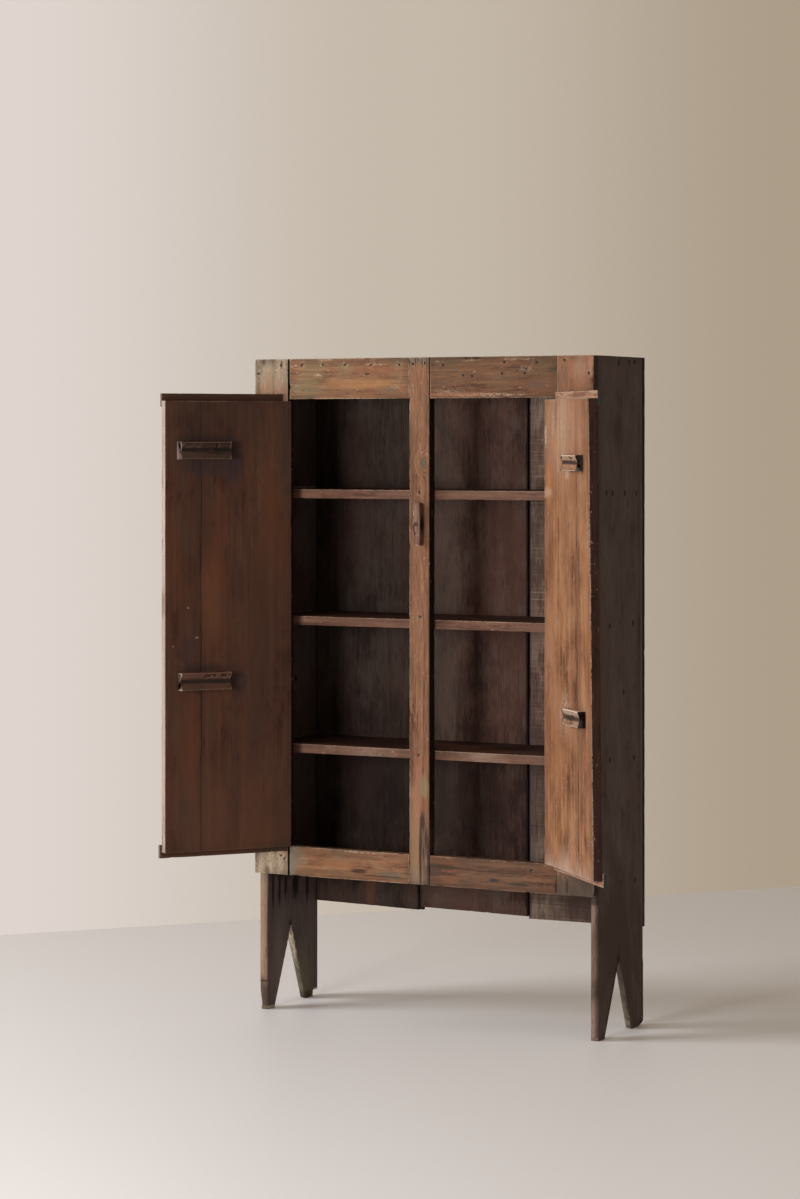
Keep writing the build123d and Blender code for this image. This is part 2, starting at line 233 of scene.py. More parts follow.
def soft_lamp(name, towards, distance, width, level):
    """A square lamp that lights a surface facing it, at the cupboard's middle, at this level."""
    lamp = bpy.data.lights.new(name, "AREA")
    lamp.size = width
    lamp.energy = level * (pi * distance) ** 2
    lamp_object = bpy.data.objects.new(name, lamp)
    target = Vector((cupboard_middle, face_front, 0.9))
    away = Vector(towards).normalized()
    lamp_object.location = target + away * distance
    lamp_object.rotation_euler = (-away).to_track_quat("-Z", "Y").to_euler()
    lamp_object.visible_camera = False
    bpy.context.scene.collection.objects.link(lamp_object)


soft_lamp("window_lamp", (-0.8, -0.55, 0.4), distance=7.0, width=3.3, level=0.65)
soft_lamp("front_lamp", (-0.045, -1.0, 0.09), distance=6.0, width=1.5, level=0.5)


# ------------------------------------------------------------------ face frame
# Three stiles and four rails of one old softwood, mortised together and nailed to the carcase.
# The wood is worn, chipped along its edges and greyed at the ends of the stiles.
class Board:
    """A sawn board: its own axes (along the grain, across it, out of its good face) and its size."""

    def __init__(self, low, high, along, out, place=Matrix(), twist=None):
        out = Vector(out)
        along = Vector(along)
        self.place = place
        self.twist = twist
        self.looks_aside = abs(out.x) > 0.5
        turn = Matrix((along, out.cross(along), out)).transposed()
        ends = [turn.transposed() @ corner for corner in (low, high)]
        self.low = Vector(map(min, *ends))
        self.high = Vector(map(max, *ends))
        self.size = self.high - self.low
        self.frame = place @ turn.to_4x4() @ Matrix.Translation((self.low + self.high) / 2)
        self.to_board = self.frame.inverted()

    def spot(self, sideways, height):
        """A mark's place on the board's face, with its door shut, from millimetres above the floor and
        right of the cupboard's middle; on the sides, millimetres behind the front instead."""
        if self.looks_aside:
            point = Vector((0, face_front + sideways / 1000, height / 1000))
        else:
            point = Vector((cupboard_middle + sideways / 1000, face_front, height / 1000))
        point = self.to_board @ (self.place @ point)
        point.z = self.size.z / 2
        return point


class Twist:
    """How an old door has wound: its lower free corner stands out most, its top and hinge edge not at all."""

    def __init__(self, hung, pin, free, top, height, turn):
        self.reach_way = hung.to_3x3() @ Vector((free, 0, 0))
        self.outwards = hung.to_3x3() @ Vector((0, -1, 0))
        self.pin_reach = self.reach_way.dot(pin)
        self.top = top
        self.share = tan(turn) / height

    def shift(self, point):
        reach = self.reach_way.dot(point) - self.pin_reach
        return self.outwards * (reach * (self.top - point.z) * self.share)


def corners(node, place=Matrix()):
    """Lowest and highest corner of a node, with its door shut if place says how it hangs open."""
    back = place.inverted()
    points = [back @ v.co for v in nodes[node].data.vertices]
    return Vector(map(min, zip(*points))), Vector(map(max, zip(*points)))


def eased(bm, edges, offset, segments):
    """Rounds these edges off."""
    bmesh.ops.bevel(
        bm, geom=edges, offset=offset, segments=segments, profile=0.5, affect="EDGES", material=-1
    )


def squared(board, arris, cell):
    """A board with rounded arrises, its faces cut into cells that wear can move."""
    bm = bmesh.new()
    bmesh.ops.create_cube(bm, size=1.0)
    bmesh.ops.scale(bm, vec=board.size, verts=bm.verts)
    eased(bm, bm.edges[:], offset=arris, segments=3)
    for axis in range(3):
        run = [e for e in bm.edges if abs((e.verts[0].co - e.verts[1].co)[axis]) > 2.5 * arris]
        cuts = ceil(board.size[axis] / cell[axis])
        bmesh.ops.subdivide_edges(bm, edges=run, cuts=cuts, use_grid_fill=True)
    return bm


def wear(bm, board, seed, hollow, dents, dent_depth, notches=()):
    """Old wear: faces planed a little hollow and arrises knocked in, always into the wood."""
    half = board.size / 2
    offset = Vector((seed * 3.1, seed * 1.7, seed * 0.9))
    bm.normal_update()
    moves = []
    for v in bm.verts:
        gaps = sorted(half[i] - abs(v.co[i]) for i in range(3))
        slow = noise.noise(Vector((v.co.x * 3.5, v.co.y * 16, v.co.z * 16)) + offset)
        sharp = noise.noise(v.co * 55 + offset)
        broad = noise.noise(v.co * 17 + offset)
        edge = exp(-gaps[1] / 0.004)
        depth = hollow * (0.5 + 0.5 * slow)
        depth += edge * dents * max(0.0, broad * 0.9 + sharp * 0.6)
        depth += edge * dent_depth * max(0.0, sharp - 0.28)
        moves.append((v, -v.normal * depth))
    for sideways, height, radius, notch_depth in notches:
        middle = board.spot(sideways, height)
        for v in bm.verts:
            share = 1 - (v.co - middle).length * 1000 / radius
            if share > 0:
                moves.append((v, -v.normal * notch_depth / 1000 * share))
    for v, move in moves:
        v.co += move


def finished(name, bm, board, material, body, stands_for):
    """Sets a piece in its place in the cupboard, hangs it on the body it rides on, and hides the nodes it
    stands in for.
    """
    bm.transform(board.frame)
    if board.twist:
        for v in bm.verts:
            v.co += board.twist.shift(v.co)
    mesh = bpy.data.meshes.new(name)
    bm.to_mesh(mesh)
    bm.free()
    mesh.shade_smooth()
    mesh.materials.append(material)
    piece = bpy.data.objects.new(name, mesh)
    bpy.context.scene.collection.objects.link(piece)
    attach(piece, body)
    if stands_for:
        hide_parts(*stands_for)


def tones_of(red, green, blue, depth=0.42, lift=1.5):
    """A wood's dark, middle and light tones; the dark is redder and the light is yellower."""
    dark = (red * depth, green * depth * 0.86, blue * depth * 0.8)
    return dark, (red, green, blue), (red * lift, green * lift * 1.06, blue * lift * 1.08)


plain_wood = {
    "tones": tones_of(0.235, 0.125, 0.066),
    "back_tones": None,
    "patch": (0.22, 0.16, 0.085),
    "patch_share": 0.45,
    "grey": (0.3, 0.255, 0.205),
    "grey_top": 0.0,
    "grey_foot": 0.0,
    "grey_all": 0.0,
    "mottle": 1.0,
    "streaks": 1.0,
    "streak_waves": 5.0,
    "fibres": 1.0,
    "warm": (0.24, 0.085, 0.04),
    "warm_share": 0.25,
    "rings": 0.5,
    "pits": 0.6,
    "chips": 0.5,
    "checks": 0.6,
    "rubbed": 0.6,
    "rubbed_tone": (0.42, 0.31, 0.21),
    "grime": 0.5,
    "seams": (),
    "seam_w": 0.0026,
    "nail_reach": 0.0034,
    "flaked": 0.4,
    "knots": (),
    "nails": (),
    "scuffs_and_highlights": (),
    "stained_face": 0,
    "stains_and_painted_shading": (),
    "scratches": 0.0,
    "stripes": 0.0,
    "stripe_tones": ((0.3, 0.22, 0.17), (0.34, 0.15, 0.06)),
    "saw_marks": 0.0,
    "end_tone": None,
    "end_rim": None,
    "end_way": None,
    "end_framed": False,
    "cut_tone": None,
    "edge_tone": None,
    "edge_top": None,
    "edge_clean": False,
    "rough": 0.62,
    "relief": 0.5,
}


def dimmed(tone, share):
    return [c * share for c in tone]


class OldWood:
    """The look of one board, laid on in the order it came about: the wood, then its weather, wear and marks,
    among them some painted shade and painted light.
    It reads the board's own axes, so the grain and the marks stay on the wood however the board is turned."""

    pith_across = 0.012
    pith_out = -0.055
    taper = 0.012
    ring_gap = 0.0065
    grime_tone = (0.035, 0.02, 0.013)
    soot = dimmed(grime_tone, 0.45)

    def __init__(self, tree, board, seed, look):
        self.start = Shade(tree)
        self.board = board
        self.seed = seed
        self.look = look
        self.half = board.size / 2
        self.find_place()
        self.grow_rings()
        self.lay_tones()
        self.show_saw_cuts()
        self.weather_ends()
        self.wear_arrises()
        self.wear_faces()
        self.rust_nails()
        self.lay_marks()
        self.show_end_grain()

    def veil(self, share, tone):
        """Lays a tone over all that came before it, as far as share says."""
        self.colour = share.tint(self.colour, tone)

    def find_place(self):
        """A point's place on the board, along the grain, across it and out of it, and the grain's noises."""
        spot = self.start.node("ShaderNodeTexCoord", {}, {}, output="Object")
        middle = self.board.frame.translation
        parts = [spot.dot(axis) - axis.dot(middle) for axis in self.board.to_board.to_3x3()]
        twist = self.board.twist
        if twist:
            reach = spot.dot(twist.reach_way) - twist.pin_reach
            parts[2] = parts[2] + reach * (spot.dot((0.0, 0.0, -1.0)) + twist.top) * twist.share
        self.along, self.across, self.out = parts
        self.space = self.start.node("ShaderNodeCombineXYZ", {}, dict(enumerate(parts)))
        cloud = self.space.cloud
        seed = self.seed
        waves = self.look["streak_waves"]
        self.bands = cloud(2.3, 6.5, seed, detail=2.0, distortion=0.4)
        self.streak = cloud(waves, 80, seed + 3, detail=6.0, roughness=0.66, distortion=0.2)
        self.line = cloud(10, 170, seed + 5, detail=4.0, roughness=0.6)
        self.fibre = cloud(34, 420, seed + 7, detail=3.0, roughness=0.6)
        self.blotch = cloud(9, 14, seed + 9, detail=8.0, roughness=0.64)
        self.speck = cloud(130, 230, seed + 11, detail=2.0, roughness=0.6)

    def grow_rings(self):
        """Year rings about the log's pith, drawn out by its taper and pushed aside by its knots."""
        look = self.look
        aside = self.across - self.pith_across
        behind = self.out - self.pith_out
        wander = (self.space.cloud(1.6, 7, self.seed + 13) - 0.5) * 0.03 + (self.line - 0.5) * 0.004
        reach = (aside * aside + behind * behind).root() + wander + self.along * self.taper
        self.knot = None
        for sideways, height, radius in look["knots"]:
            span = self.space.away(self.board.spot(sideways, height), 1.5) / (radius / 1000)
            reach = reach + span.ease(3.4, 0.3) * (radius * 0.0018)
            core = span.ease(1.15, 0.75)
            self.knot = core if self.knot is None else self.knot.most(core)
        ring = (reach / self.ring_gap).fraction()
        self.late_wood = ring.ease(0.55, 0.97) * self.bands.ease(0.3, 0.62)

    def toned(self, tones):
        """The dark, middle and light tones of a wood, spread as its grain has them."""
        dark, mid, light = tones
        return self.tone.ease(-0.04, -0.5).tint(self.tone.ease(0.02, 0.48).tint(mid, light), dark)

    def lay_tones(self):
        """The wood's own tones, with patches, warm stretches and broad stripes along the grain."""
        look = self.look
        self.tone = (
            (self.bands - 0.5) * (0.8 * look["mottle"])
            + (self.blotch - 0.5) * (1.3 * look["mottle"])
            + (self.streak - 0.5) * (1.9 * look["streaks"])
            + (self.fibre - 0.5) * (1.4 * look["fibres"])
            - (self.late_wood - 0.2) * (0.7 * look["rings"])
        )
        self.colour = self.toned(look["tones"])
        self.veil(self.blotch.ease(0.47, 0.66) * look["patch_share"], look["patch"])
        warmth = self.space.cloud(3.1, 9, self.seed + 21, detail=3.0)
        self.veil(warmth.ease(0.48, 0.66) * look["warm_share"], look["warm"])
        if look["stripes"]:
            stripe = self.space.cloud(0.8, 34, self.seed + 27, detail=3.0, roughness=0.55)
            ash, ochre = look["stripe_tones"]
            self.veil(stripe.ease(0.54, 0.66) * look["stripes"], ash)
            self.veil(stripe.ease(0.46, 0.34) * look["stripes"], ochre)

    def show_saw_cuts(self):
        """Saw marks across the grain, the other tones of a board's back, and the faces of a sawn notch."""
        look = self.look
        dark, _, light = look["tones"]
        if look["saw_marks"]:
            sawn = self.space.cloud(210, 5, self.seed + 29, detail=3.0) * 0.6 + self.blotch * 0.4
            self.veil(sawn.ease(0.5, 0.62) * look["saw_marks"], light)
            self.veil(sawn.ease(0.46, 0.36) * look["saw_marks"], dark)
        if look["back_tones"]:
            behind = self.out.ease(-self.half.z * 0.5, -self.half.z * 0.9)
            self.veil(behind, self.toned(look["back_tones"]))
        self.veil(self.line.ease(0.6, 0.7) * (0.7 * look["streaks"]), dark)
        if look["cut_tone"]:
            # The slanting faces of a notch look down and stayed paler than the rest.
            facing = self.start.node("ShaderNodeNewGeometry", {}, {}, output="Normal").dot((0.0, 0.0, -1.0))
            fuzz = (self.speck * 0.7 + self.blotch * 0.3).ease(0.42, 0.62)
            self.veil(facing.ease(0.1, 0.2), fuzz.tint(dimmed(look["cut_tone"], 0.5), look["cut_tone"]))

    def weather_ends(self):
        """Grey, weathered wood, most at the ends."""
        look = self.look
        self.weather = self.blotch.ease(0.35, 0.75) * look["grey_all"] if look["grey_all"] else None
        from_top = self.half.x - self.along
        from_foot = self.half.x + self.along
        for length, from_end in ((look["grey_top"], from_top), (look["grey_foot"], from_foot)):
            if length:
                ragged = (self.blotch - 0.5) * 1.8 + (self.streak - 0.5) * 1.4 + (self.speck - 0.5) * 0.5
                worn = (from_end + ragged * length).ease(length, length * 0.45)
                self.weather = worn if self.weather is None else self.weather.most(worn)
        if self.weather is not None:
            strands = (self.streak * 0.6 + self.speck * 0.4).ease(0.38, 0.62)
            self.veil(self.weather, strands.tint(dimmed(look["grey"], 0.5), look["grey"]))

    def wear_arrises(self):
        """Along the arrises the wood is rubbed pale, dirt gathers beside them, and soot fills the joints."""
        look = self.look
        half = self.half
        gap_along = half.x - abs(self.along)
        gap_across = half.y - abs(self.across)
        gap_out = half.z - abs(self.out)
        smaller = gap_along.least(gap_across)
        larger = gap_along.most(gap_across)
        arris = smaller.most(larger.least(gap_out))
        self.spared = 1.0
        if look["edge_tone"]:
            self.tone_edge(*look["edge_tone"])
        dirt = arris.ease(0.03, 0.002) * self.blotch.ease(0.35, 0.62) * look["grime"]
        self.veil(dirt, self.grime_tone)
        rubbed = (arris + (self.blotch - 0.5) * 0.006).ease(0.0032, 0.0008) * self.speck.ease(0.32, 0.55)
        self.veil(rubbed * self.out.ease(-half.z, half.z * 0.5) * look["rubbed"], look["rubbed_tone"])
        for way in look["seams"]:
            seam_w = look["seam_w"]
            seam = (self.across * way).ease(half.y - seam_w, half.y - seam_w * 0.55)
            self.veil(seam, self.soot)

    def tone_edge(self, way, edge_tone):
        """One long edge has a tone of its own, over its whole length or up to edge_top."""
        half = self.half
        edge_band = (self.across * way).ease(half.y - 0.0022, half.y - 0.0006)
        if self.look["edge_top"]:
            top_end = self.board.spot(0, self.look["edge_top"]).x
            edge_band = edge_band * self.along.ease(top_end + 0.004, top_end - 0.004)
        if self.look["edge_clean"]:
            self.spared = 1.0 - edge_band
        self.veil(edge_band, self.toned(tones_of(*edge_tone, 0.5, 1.3)))

    def wear_faces(self):
        """Small pits, pale chips, checks that open along the grain, dark knots and slanting scratches."""
        look = self.look
        cloud = self.space.cloud
        dark = look["tones"][0]
        pit = self.speck.ease(0.67, 0.74) * self.blotch.ease(0.42, 0.58) * look["pits"]
        self.veil(pit, self.grime_tone)
        chip = cloud(75, 130, self.seed + 17, detail=1.0).ease(0.69, 0.75) * self.blotch.ease(0.6, 0.4)
        self.veil(chip * look["chips"], look["rubbed_tone"])
        check = abs(cloud(1.7, 62, self.seed + 19, detail=3.0) - 0.5).ease(0.01, 0.002)
        check = check * self.bands.ease(0.5, 0.62) * look["checks"]
        self.veil(check, self.grime_tone)
        if self.knot is not None:
            self.veil(self.knot * (self.late_wood * 0.35 + 0.6), dimmed(dark, 0.55))
        if look["scratches"]:
            scratched = cloud(11, 11, self.seed + 25).ease(0.5, 0.6) * look["scratches"]
            for turn in (0.5, -0.75):
                scratch = abs(cloud(4, 45, self.seed + 23, detail=2.0, turn=turn) - 0.5).ease(0.006, 0.001)
                self.veil(scratch * scratched, dark)
        self.sunk = pit + check

    def rust_nails(self):
        """Round each nail the surface has flaked off, and the nail's own place is black with rust."""
        look = self.look
        if not look["nails"]:
            return
        nearest, *others = [self.space.away(self.board.spot(*nail), 1.25) for nail in look["nails"]]
        for other in others:
            nearest = nearest.least(other)
        flaked = (nearest + (self.blotch - 0.5) * 0.02).ease(0.016, 0.006) * self.speck.ease(0.52, 0.62)
        self.veil(flaked * look["flaked"], look["rubbed_tone"])
        reach = look["nail_reach"]
        rusted = (nearest + (self.speck - 0.5) * 0.004).ease(reach * 1.3, reach * 0.6)
        self.veil(rusted, self.soot)
        self.sunk = self.sunk + rusted * 0.5

    def from_mark(self, sideways, height, length, width):
        """How far a point is from a mark's middle, 1 at its rim; length and width are in millimetres."""
        return self.space.away(self.board.spot(sideways, height), length / width) / (width / 2000)

    def lay_marks(self):
        """Scuffs that took the old surface off, and stains, both with ragged rims; a few of the scuffs carry
        a painted highlight, and some of the stains are painted shade and painted light.
        """
        look = self.look
        if look["stained_face"]:
            stained = (self.out * look["stained_face"]).ease(0.0004 - self.half.z, 0.0015 - self.half.z)
            self.spared = stained * self.spared
        if look["scuffs_and_highlights"]:
            rim = (self.blotch - 0.5) * 2.4 + (self.streak - 0.5) * 1.6
            grit = self.space.cloud(190, 430, self.seed + 31, detail=2.0, roughness=0.6)
            rubbed = (grit * 0.65 + self.streak * 0.35).ease(0.45, 0.62)
            for *mark, strength in look["scuffs_and_highlights"]:
                scuff_and_highlight = (self.from_mark(*mark) + rim).ease(1.0, 0.45)
                self.veil(scuff_and_highlight * rubbed * strength * self.spared, look["rubbed_tone"])
        if look["stains_and_painted_shading"]:
            rim = (self.streak - 0.5) * 1.1 + (self.blotch - 0.5) * 1.8
            for *mark, strength, stain_and_shading_tone in look["stains_and_painted_shading"]:
                stain_and_shading = (self.from_mark(*mark) + rim).ease(1.3, 0.4)
                self.veil(stain_and_shading * strength * self.spared, stain_and_shading_tone)

    def show_end_grain(self):
        """The ends show across the grain, some with a pale rim next to the door or all round."""
        look = self.look
        half = self.half
        if not look["end_tone"]:
            return
        end_colour = self.speck.ease(0.4, 0.6).tint(dimmed(look["end_tone"], 0.55), look["end_tone"])
        if look["end_rim"]:
            rim = self.out.ease(0.01 - half.z, 0.008 - half.z)
            if look["end_framed"]:
                long_rims = abs(self.across).ease(half.y - 0.004, half.y - 0.002)
                rim = rim.most(long_rims).most(self.out.ease(half.z - 0.006, half.z - 0.004))
            end_colour = rim.tint(end_colour, look["end_rim"])
        reach = self.along * look["end_way"] if look["end_way"] else abs(self.along)
        self.veil(reach.ease(half.x - 0.0022, half.x - 0.0012), end_colour)

    def roughness(self):
        rough = (self.streak - 0.5) * 0.16 + (self.blotch - 0.5) * 0.16 + self.look["rough"]
        return rough if self.weather is None else rough + self.weather * 0.16

    def relief(self):
        """Raised grain, with the late wood, pits and checks sunk into it."""
        height = self.fibre * 0.3 + self.streak * 0.55 + self.line * 0.25
        height = height - self.late_wood * (0.35 * self.look["rings"]) - self.sunk * 1.4
        inputs = {"Strength": self.look["relief"], "Distance": 0.0009, "Height": height}
        return self.start.node("ShaderNodeBump", {}, inputs)


def wood(name, board, seed, changes):
    """Old wood for one board: plain_wood with the board's own changes."""
    look = {**plain_wood, **changes}
    material = bpy.data.materials.new(name)
    material.use_nodes = True
    tree = material.node_tree
    coats = OldWood(tree, board, seed, look)
    shader = tree.nodes["Principled BSDF"]
    shader.inputs["Specular IOR Level"].default_value = 0.15
    tree.links.new(coats.colour.socket, shader.inputs["Base Color"])
    tree.links.new(coats.roughness().socket, shader.inputs["Roughness"])
    tree.links.new(coats.relief().socket, shader.inputs["Normal"])
    return material


def wooden(node, bm, board, body, seed, look):
    """Stands a worn board of old wood in for its node."""
    name = node + "_wood"
    finished(name, bm, board, wood(name, board, seed, look), body, [node])


rusted_iron = bpy.data.materials.new("rusted_iron")
rusted_iron.use_nodes = True
rust = Shade(rusted_iron.node_tree)
place = rust.node("ShaderNodeTexCoord", {}, {}, output="Object")
scale = place.cloud(160, 160, 5, detail=4.0)
rust_tone = scale.ease(0.42, 0.62).tint((0.03, 0.024, 0.021), (0.085, 0.04, 0.022))
rust_bump = rust.node("ShaderNodeBump", {}, {"Strength": 0.4, "Distance": 0.0004, "Height": scale})
iron_shader = rusted_iron.node_tree.nodes["Principled BSDF"]
iron_shader.inputs["Metallic"].default_value = 0.6
for socket, shade in {"Base Color": rust_tone, "Roughness": scale * 0.3 + 0.5, "Normal": rust_bump}.items():
    rusted_iron.node_tree.links.new(shade.socket, iron_shader.inputs[socket])


def nail_heads(name, board, places, body, behind=False):
    """Hand-cut nails driven flush: small domed heads on the board's good face, or on the one behind it."""
    bm = bmesh.new()
    for sideways, height in places:
        point = board.spot(sideways, height)
        turn = Matrix.Rotation(pi if behind else 0, 4, "X")
        turn.translation = (point.x, point.y, -point.z if behind else point.z)
        bmesh.ops.create_cone(bm, cap_ends=True, segments=9, radius1=0.0028, radius2=0.0017, depth=0.0018,
                              matrix=turn)
    finished(name, bm, board, rusted_iron, body, [])


sideways_right = (1, 0, 0)
to_front = (0, -1, 0)
worn_tan = (0.5, 0.4, 0.29)
olive = (0.175, 0.135, 0.07)
soot_brown = (0.045, 0.024, 0.015)
frame_looks = {
    "left_stile": dict(
        seed=11, seams=(-1,), grey_top=0.1, grey_foot=0.09, grey_all=0.45, grey=(0.37, 0.28, 0.195),
        pits=0.9, chips=0.9, scratches=0.8, tones=tones_of(0.285, 0.15, 0.091), rubbed_tone=worn_tan,
        nails=((-427, 1762), (-498, 1740), (-427, 429), (-416, 421)),
        stains_and_painted_shading=((-480, 1772, 30, 14, 0.7, soot_brown), (-425, 1765, 24, 8, 0.8, soot_brown),
                (-470, 383, 30, 20, 0.5, soot_brown)),
    ),
    "centre_stile": dict(
        seed=23, seams=(-1,), seam_w=0.0034, flaked=0.2, grey_top=0.022, grey_foot=0.03,
        grey=(0.22, 0.175, 0.13), rings=0.6, patch_share=0.12, streak_waves=3.0, mottle=0.7,
        tones=tones_of(0.204, 0.096, 0.05), checks=0.6, streaks=0.7,
        nails=((-1, 1421), (-20, 1762), (16, 1764), (-3, 722), (2, 1090)),
        knots=((11, 1499, 9),),
        stains_and_painted_shading=((0, 440, 170, 70, 0.5, (0.3, 0.16, 0.088)), (-12, 1768, 22, 5, 0.9, soot_brown),
                (8, 1766, 26, 4, 0.9, soot_brown), (22, 1763, 30, 4, 0.8, soot_brown),
                (11, 1500, 26, 13, 0.75, (0.11, 0.1, 0.06)), (-14, 1503, 8, 12, 0.7, (0.12, 0.1, 0.06)),
                (-16, 480, 330, 24, 0.6, (0.22, 0.145, 0.08)),
                (-6, 620, 200, 24, 0.5, (0.33, 0.145, 0.085)),
                (17, 440, 230, 30, 0.8, (0.092, 0.065, 0.049)), (14, 640, 60, 22, 0.7, (0.21, 0.17, 0.09)),
                (-8, 400, 60, 50, 0.6, (0.2, 0.14, 0.1)), (3, 420, 170, 9, 1.0, soot_brown),
                (27, 430, 170, 12, 1.0, soot_brown), (10, 545, 50, 14, 0.9, soot_brown),
                (4, 500, 110, 8, 0.8, soot_brown), (19, 500, 60, 6, 0.9, soot_brown),
                (12, 462, 40, 5, 0.8, soot_brown), (20, 440, 30, 7, 0.7, (0.2, 0.15, 0.115)),
                # The reddish dark streak just right of the turn button is its painted shadow.
                (18, 1345, 150, 14, 0.5, (0.16, 0.06, 0.03))),
    ),
    "right_stile": dict(
        seed=37, grey_foot=0.03, patch_share=0.2, mottle=0.8, tones=tones_of(0.275, 0.122, 0.065, 0.6),
        streaks=0.4, rings=0.4, scratches=0.9, grey=(0.2, 0.155, 0.11),
        edge_tone=(-1, (0.026, 0.0165, 0.013)), edge_clean=True,
        nails=((427, 1768), (497, 1733)),
        notches=((510, 1713, 9, 4),),
        stains_and_painted_shading=((428, 1735, 90, 16, 0.6, (0.13, 0.075, 0.045)),
                (460, 402, 90, 170, 0.9, (0.072, 0.049, 0.036)),
                (470, 1745, 70, 40, 0.35, (0.3, 0.21, 0.15)), (434, 400, 46, 8, 1.0, soot_brown),
                (485, 425, 50, 40, 0.6, (0.06, 0.042, 0.032)),
                (500, 1745, 60, 10, 0.5, (0.36, 0.22, 0.15))),
    ),
    "top_rail_left": dict(
        seed=41, patch_share=0.6, tones=tones_of(0.2, 0.096, 0.048), patch=olive, rubbed_tone=worn_tan,
        warm_share=0.5, chips=0.8,
        nails=((-361, 1763), (-295, 1762), (-227, 1762), (-147, 1761), (-62, 1760)),
        scuffs_and_highlights=((-312, 1735, 40, 16, 1.0), (-227, 1758, 26, 16, 1.0), (-290, 1776, 60, 7, 0.8),
                (-75, 1700, 40, 22, 0.7), (-375, 1700, 30, 30, 0.7), (-120, 1762, 60, 8, 0.8)),
        stains_and_painted_shading=((-160, 1710, 250, 26, 0.55, (0.34, 0.165, 0.065)), (-350, 1705, 100, 52, 0.55, olive),
                (-110, 1750, 160, 30, 0.5, (0.2, 0.072, 0.035)), (-159, 1737, 16, 5, 0.9, soot_brown),
                (-85, 1694, 40, 12, 0.6, (0.1, 0.085, 0.07)), (-340, 1676, 60, 9, 0.6, (0.1, 0.085, 0.06)),
                (-200, 1770, 200, 8, 0.5, (0.11, 0.05, 0.03))),
    ),
    "top_rail_right": dict(
        seed=53, flaked=0.12, patch_share=0.6, patch=(0.1, 0.066, 0.034),
        tones=tones_of(0.129, 0.059, 0.029), pits=1.0, chips=0.7, rubbed_tone=(0.36, 0.26, 0.18),
        nails=((71, 1758), (251, 1764), (129, 1731), (156, 1728), (245, 1735), (311, 1735), (346, 1763)),
        notches=((143, 1780, 12, 7), (150, 1776, 8, 4), (173, 1780, 15, 9)),
        scuffs_and_highlights=((200, 1679, 300, 11, 1.2), (90, 1690, 90, 12, 0.7), (320, 1745, 60, 22, 0.5),
                (150, 1770, 120, 9, 0.9), (60, 1768, 60, 9, 0.8), (300, 1772, 130, 8, 0.7)),
        stains_and_painted_shading=((120, 1680, 190, 12, 0.6, (0.25, 0.105, 0.06)),
                (345, 1705, 60, 26, 0.55, (0.085, 0.058, 0.042)),
                (60, 1712, 60, 20, 0.5, (0.08, 0.046, 0.03)), (230, 1712, 130, 9, 0.5, (0.2, 0.1, 0.045)),
                (290, 1742, 10, 5, 0.9, soot_brown), (316, 1746, 9, 5, 0.9, soot_brown)),
    ),
    "bottom_rail_left": dict(
        seed=61, patch_share=0.45, grey_foot=0.03, pits=1.0, tones=tones_of(0.22, 0.103, 0.053),
        rubbed_tone=worn_tan, flaked=0.1, chips=0.2,
        scuffs_and_highlights=((-360, 420, 50, 26, 0.6), (-200, 452, 200, 6, 0.7)),
        stains_and_painted_shading=((-185, 402, 56, 13, 0.9, soot_brown), (-90, 398, 90, 20, 0.7, (0.13, 0.105, 0.07)),
                (-385, 425, 70, 70, 0.75, (0.17, 0.14, 0.095)),
                (-200, 440, 220, 9, 0.5, (0.11, 0.065, 0.04)),
                (-250, 415, 120, 24, 0.5, (0.32, 0.13, 0.055)), (-120, 392, 140, 4, 0.8, soot_brown)),
    ),
    "bottom_rail_right": dict(
        seed=71, flaked=0.1, patch_share=0.45, grey_all=0.06, patch=(0.1, 0.066, 0.042),
        grey=(0.15, 0.12, 0.1), tones=tones_of(0.116, 0.052, 0.028), rubbed_tone=(0.3, 0.21, 0.15),
        nails=((330, 436),),
        scuffs_and_highlights=((180, 452, 200, 5, 0.7),),
        stains_and_painted_shading=((222, 403, 36, 12, 0.9, (0.028, 0.024, 0.026)),
                (300, 396, 60, 12, 0.7, (0.035, 0.027, 0.025)), (140, 430, 90, 8, 0.6, soot_brown),
                (90, 395, 60, 14, 0.5, (0.2, 0.085, 0.045)), (44, 420, 60, 50, 0.7, (0.05, 0.03, 0.023)),
                (70, 430, 90, 12, 0.9, soot_brown), (90, 412, 60, 5, 0.7, soot_brown),
                (250, 445, 220, 12, 0.5, (0.17, 0.085, 0.048))),
    ),
}
for name, look in frame_looks.items():
    low, high = corners(name)
    along = upwards
    if "rail" in name:
        # The body of a rail is what its back face shows; beyond it, at each end, runs a tenon.
        along = sideways_right
        back_face = [v.co.x for v in nodes[name].data.vertices if v.co.y > high.y - 1e-5]
        low.x = min(back_face)
        high.x = max(back_face)
    board = Board(low, high, along, to_front)
    bm = squared(board, arris=0.002, cell=(0.005, 0.0045, 0.006))
    wear(bm, board, look["seed"], hollow=0.0007, dents=0.0016, dent_depth=0.005,
         notches=look.get("notches", ()))
    wooden(name, bm, board, "carcase", look["seed"], look)
    if "nails" in look:
        nail_heads(name + "_nails", board, look["nails"], "carcase")


